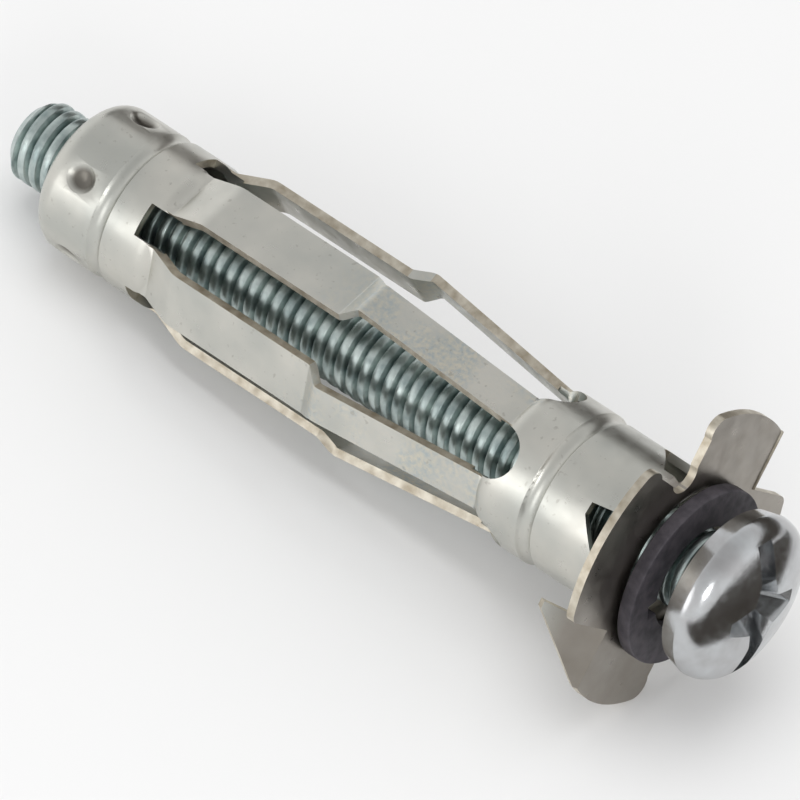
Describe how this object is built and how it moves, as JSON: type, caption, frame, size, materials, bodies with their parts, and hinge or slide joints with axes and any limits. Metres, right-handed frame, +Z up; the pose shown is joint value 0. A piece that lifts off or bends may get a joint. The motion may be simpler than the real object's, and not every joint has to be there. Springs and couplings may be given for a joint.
{
  "type": "hollow wall anchor",
  "caption": "Metal cavity fixing: slit expanding sleeve with a clawed flange and crimped nut on a pan head machine screw with a loose washer.",
  "frame": {"origin": "on the screw's axis in the plane of the flange's back face, which bears on the wall", "axes": "+X level, from the screw's tip towards its head; +Z up; one gap of the flange faces down and the screw's axis climbs by 5.4 degrees towards the head"},
  "size_m": [0.0639, 0.021, 0.0203],
  "materials": {
    "zinc_sheet": "bright zinc plated, satin",
    "nut_steel": "zinc plated",
    "screw_steel": "bright zinc plated",
    "dark_fibre": "matt pressed fibre"
  },
  "bodies": {
    "sleeve_with_nut": {"anchor_sleeve": "zinc_sheet", "threaded_nut": "nut_steel"},
    "washer": {"fibre_washer": "dark_fibre"},
    "screw": {"pan_head_screw": "screw_steel"}
  },
  "joints": [
    {"name": "screw_turn", "type": "hinge", "parent": "sleeve_with_nut", "child": "washer", "pos_m": [0, 0, 0], "axis": [0.9955, 0, 0.0947], "range_deg": [-722, 2884]},
    {"name": "screw_travel", "type": "slide", "parent": "washer", "child": "screw", "axis": [0.9955, 0, 0.0947], "range_m": [-0.002, 0.008]}
  ],
  "couplings": [
    {"joint": "screw_turn", "follows": "screw_travel", "rad_per_m": 6283.2}
  ]
}
